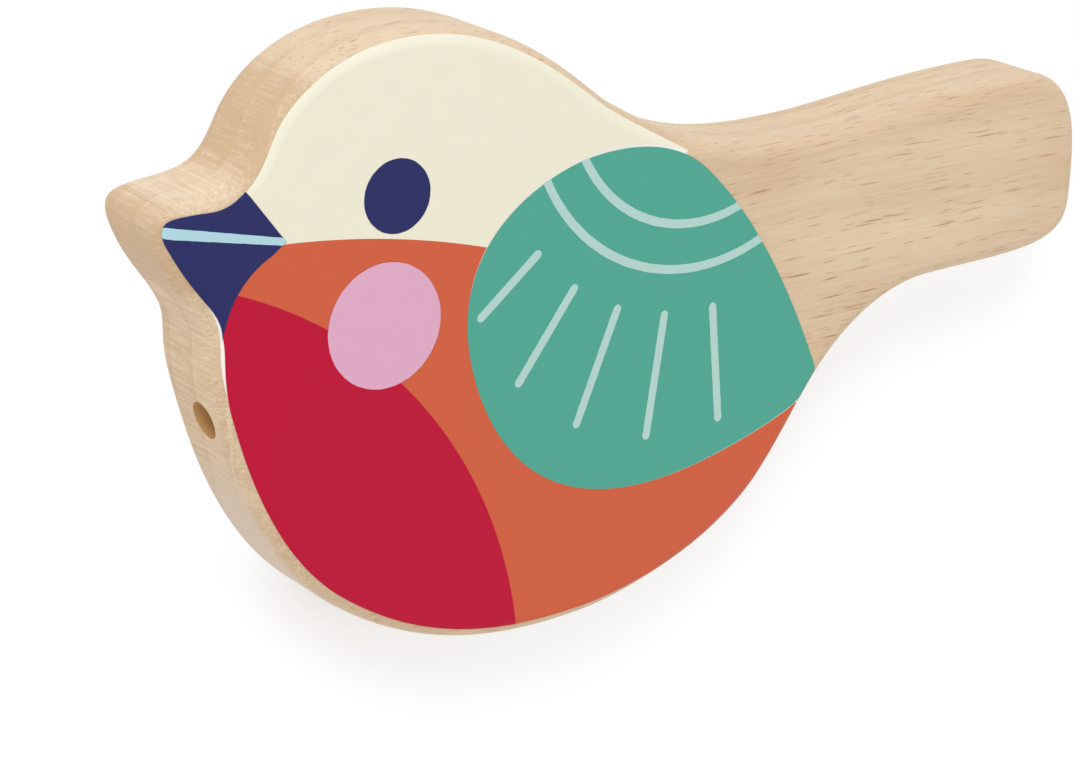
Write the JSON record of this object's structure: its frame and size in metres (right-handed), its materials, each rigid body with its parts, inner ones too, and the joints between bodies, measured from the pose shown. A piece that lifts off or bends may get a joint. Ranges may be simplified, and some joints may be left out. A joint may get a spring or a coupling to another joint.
{
  "type": "bird whistle",
  "caption": "Flat wooden whistle shaped as a small painted songbird, blown at the tail, with a bore, block, window and a sound hole in the breast.",
  "frame": {"origin": "middle of the footprint of the back face that the whistle lies on", "axes": "+X along the bore from the breast to the mouthpiece in the tail, +Y from the belly to the crown, +Z out of the printed face"},
  "size_m": [0.118, 0.0698, 0.0124],
  "materials": {
    "beech": "sanded, thin clear coat",
    "white_ink": "satin printed ink",
    "cream_ink": "satin printed ink",
    "orange_ink": "satin printed ink",
    "red_ink": "satin printed ink",
    "pink_ink": "satin printed ink",
    "navy_ink": "satin printed ink",
    "teal_ink": "satin printed ink",
    "mint_ink": "satin printed ink",
    "pale_blue_ink": "satin printed ink"
  },
  "bodies": {
    "root": {"body": "beech", "block": "beech", "ground": "white_ink", "crown": "cream_ink", "flank": "orange_ink", "breast": "red_ink", "beak": "navy_ink", "beak_line": "pale_blue_ink", "eye": "navy_ink", "cheek": "pink_ink", "wing": "teal_ink", "wing_arc_1": "mint_ink", "wing_arc_2": "mint_ink", "wing_stroke_1": "mint_ink", "wing_stroke_2": "mint_ink", "wing_stroke_3": "mint_ink", "wing_stroke_4": "mint_ink", "wing_stroke_5": "mint_ink"}
  },
  "joints": []
}
